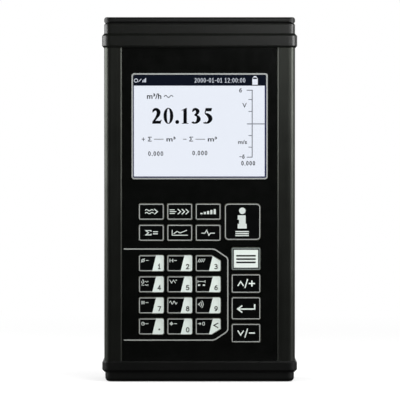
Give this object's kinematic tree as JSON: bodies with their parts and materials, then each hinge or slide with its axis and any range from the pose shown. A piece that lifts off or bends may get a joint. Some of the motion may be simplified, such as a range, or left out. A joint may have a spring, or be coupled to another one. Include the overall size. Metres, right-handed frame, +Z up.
{
  "type": "portable ultrasonic flow meter",
  "caption": "Hand-held flow meter: extruded case, end collars, colour display, film keypad and a hinged cover over the transducer sockets.",
  "frame": {"origin": "centre of the base, on the surface that the meter stands on", "axes": "+Z up along the meter's length, -Y out of the keypad, +X to the right as the keypad is read"},
  "size_m": [0.1032, 0.0402, 0.1926],
  "materials": {
    "case": "anodised dark grey, satin",
    "end_pieces": "moulded, fine satin grain",
    "foot": "moulded, fine satin grain",
    "gasket": "soft black rubber",
    "screw": "zinc plated",
    "plate": "anodised, fine satin",
    "socket_metal": "nickel plated",
    "socket_insulator": "moulded black",
    "socket_contact": "gold plated",
    "power_button": "moulded red, semi-gloss",
    "pin": "ground",
    "film": "printed polyester film, satin black",
    "keys": "embossed polyester film, satin black, printed",
    "circuit": "clear polyester with silver tracks",
    "dome": "spring steel",
    "window": "clear acrylic, polished",
    "display_metal": "tinned sheet",
    "display_light": "diffuser",
    "display_glass": "colour display panel",
    "standoff": "turned",
    "board": "green solder resist",
    "chip": "moulded black",
    "lead": "insulated wire",
    "cell": "sleeved in blue film",
    "contact": "nickel strip",
    "tray": "moulded black"
  },
  "bodies": {
    "housing": {"case_extrusion": "case", "top_end_frame": "end_pieces", "bottom_end_cap": "foot", "top_gasket": "gasket", "bottom_gasket": "gasket", "display_gasket": "gasket", "top_screws": "screw", "bottom_screws": "screw", "socket_plate": "plate", "upstream_socket": "socket_metal", "downstream_socket": "socket_metal", "socket_nuts": "socket_metal", "data_socket": "socket_metal", "socket_inserts": "socket_insulator", "charge_socket": "socket_insulator", "power_switch": "socket_insulator", "socket_contacts": "socket_contact", "hinge_pin": "pin", "keypad_film": "film", "key_circuit": "circuit", "snap_domes": "dome", "display_window": "window", "lcd_frame": "display_metal", "shield_can": "display_metal", "lcd_light": "display_light", "lcd_glass": "display_glass", "display_standoffs": "standoff", "main_board": "board", "board_chips": "chip", "buzzer": "chip", "inner_leads": "lead", "battery_cells": "cell", "battery_contacts": "contact", "battery_tray": "tray"},
    "socket_cover": {"socket_cover": "end_pieces", "cover_seal": "gasket"},
    "power_button": {"power_button": "power_button"},
    "key_flow": {"key_flow": "keys"},
    "key_speed": {"key_speed": "keys"},
    "key_signal": {"key_signal": "keys"},
    "key_total": {"key_total": "keys"},
    "key_graph": {"key_graph": "keys"},
    "key_test": {"key_test": "keys"},
    "key_info": {"key_info": "keys"},
    "key_1": {"key_1": "keys"},
    "key_2": {"key_2": "keys"},
    "key_3": {"key_3": "keys"},
    "key_4": {"key_4": "keys"},
    "key_5": {"key_5": "keys"},
    "key_6": {"key_6": "keys"},
    "key_7": {"key_7": "keys"},
    "key_8": {"key_8": "keys"},
    "key_9": {"key_9": "keys"},
    "key_point": {"key_point": "keys"},
    "key_0": {"key_0": "keys"},
    "key_back": {"key_back": "keys"},
    "key_menu": {"key_menu": "keys"},
    "key_up": {"key_up": "keys"},
    "key_enter": {"key_enter": "keys"},
    "key_down": {"key_down": "keys"}
  },
  "joints": [
    {"name": "cover_hinge", "type": "hinge", "parent": "housing", "child": "socket_cover", "pos_m": [0, 0.01738, 0.19103], "axis": [-1, 0, 0], "range_deg": [0, 120]},
    {"name": "power_press", "type": "slide", "parent": "housing", "child": "power_button", "axis": [0, 0, -1], "range_m": [0, 0.0015], "stiffness_N_per_m": 800},
    {"name": "key_flow_press", "type": "slide", "parent": "housing", "child": "key_flow", "axis": [0, 1, 0], "range_m": [0, 0.0004], "stiffness_N_per_m": 5000, "deforming": ["snap_domes"]},
    {"name": "key_speed_press", "type": "slide", "parent": "housing", "child": "key_speed", "axis": [0, 1, 0], "range_m": [0, 0.0004], "stiffness_N_per_m": 5000, "deforming": ["snap_domes"]},
    {"name": "key_signal_press", "type": "slide", "parent": "housing", "child": "key_signal", "axis": [0, 1, 0], "range_m": [0, 0.0004], "stiffness_N_per_m": 5000, "deforming": ["snap_domes"]},
    {"name": "key_total_press", "type": "slide", "parent": "housing", "child": "key_total", "axis": [0, 1, 0], "range_m": [0, 0.0004], "stiffness_N_per_m": 5000, "deforming": ["snap_domes"]},
    {"name": "key_graph_press", "type": "slide", "parent": "housing", "child": "key_graph", "axis": [0, 1, 0], "range_m": [0, 0.0004], "stiffness_N_per_m": 5000, "deforming": ["snap_domes"]},
    {"name": "key_test_press", "type": "slide", "parent": "housing", "child": "key_test", "axis": [0, 1, 0], "range_m": [0, 0.0004], "stiffness_N_per_m": 5000, "deforming": ["snap_domes"]},
    {"name": "key_info_press", "type": "slide", "parent": "housing", "child": "key_info", "axis": [0, 1, 0], "range_m": [0, 0.0004], "stiffness_N_per_m": 5000, "deforming": ["snap_domes"]},
    {"name": "key_1_press", "type": "slide", "parent": "housing", "child": "key_1", "axis": [0, 1, 0], "range_m": [0, 0.0004], "stiffness_N_per_m": 5000, "deforming": ["snap_domes"]},
    {"name": "key_2_press", "type": "slide", "parent": "housing", "child": "key_2", "axis": [0, 1, 0], "range_m": [0, 0.0004], "stiffness_N_per_m": 5000, "deforming": ["snap_domes"]},
    {"name": "key_3_press", "type": "slide", "parent": "housing", "child": "key_3", "axis": [0, 1, 0], "range_m": [0, 0.0004], "stiffness_N_per_m": 5000, "deforming": ["snap_domes"]},
    {"name": "key_4_press", "type": "slide", "parent": "housing", "child": "key_4", "axis": [0, 1, 0], "range_m": [0, 0.0004], "stiffness_N_per_m": 5000, "deforming": ["snap_domes"]},
    {"name": "key_5_press", "type": "slide", "parent": "housing", "child": "key_5", "axis": [0, 1, 0], "range_m": [0, 0.0004], "stiffness_N_per_m": 5000, "deforming": ["snap_domes"]},
    {"name": "key_6_press", "type": "slide", "parent": "housing", "child": "key_6", "axis": [0, 1, 0], "range_m": [0, 0.0004], "stiffness_N_per_m": 5000, "deforming": ["snap_domes"]},
    {"name": "key_7_press", "type": "slide", "parent": "housing", "child": "key_7", "axis": [0, 1, 0], "range_m": [0, 0.0004], "stiffness_N_per_m": 5000, "deforming": ["snap_domes"]},
    {"name": "key_8_press", "type": "slide", "parent": "housing", "child": "key_8", "axis": [0, 1, 0], "range_m": [0, 0.0004], "stiffness_N_per_m": 5000, "deforming": ["snap_domes"]},
    {"name": "key_9_press", "type": "slide", "parent": "housing", "child": "key_9", "axis": [0, 1, 0], "range_m": [0, 0.0004], "stiffness_N_per_m": 5000, "deforming": ["snap_domes"]},
    {"name": "key_point_press", "type": "slide", "parent": "housing", "child": "key_point", "axis": [0, 1, 0], "range_m": [0, 0.0004], "stiffness_N_per_m": 5000, "deforming": ["snap_domes"]},
    {"name": "key_0_press", "type": "slide", "parent": "housing", "child": "key_0", "axis": [0, 1, 0], "range_m": [0, 0.0004], "stiffness_N_per_m": 5000, "deforming": ["snap_domes"]},
    {"name": "key_back_press", "type": "slide", "parent": "housing", "child": "key_back", "axis": [0, 1, 0], "range_m": [0, 0.0004], "stiffness_N_per_m": 5000, "deforming": ["snap_domes"]},
    {"name": "key_menu_press", "type": "slide", "parent": "housing", "child": "key_menu", "axis": [0, 1, 0], "range_m": [0, 0.0004], "stiffness_N_per_m": 5000, "deforming": ["snap_domes"]},
    {"name": "key_up_press", "type": "slide", "parent": "housing", "child": "key_up", "axis": [0, 1, 0], "range_m": [0, 0.0004], "stiffness_N_per_m": 5000, "deforming": ["snap_domes"]},
    {"name": "key_enter_press", "type": "slide", "parent": "housing", "child": "key_enter", "axis": [0, 1, 0], "range_m": [0, 0.0004], "stiffness_N_per_m": 5000, "deforming": ["snap_domes"]},
    {"name": "key_down_press", "type": "slide", "parent": "housing", "child": "key_down", "axis": [0, 1, 0], "range_m": [0, 0.0004], "stiffness_N_per_m": 5000, "deforming": ["snap_domes"]}
  ]
}
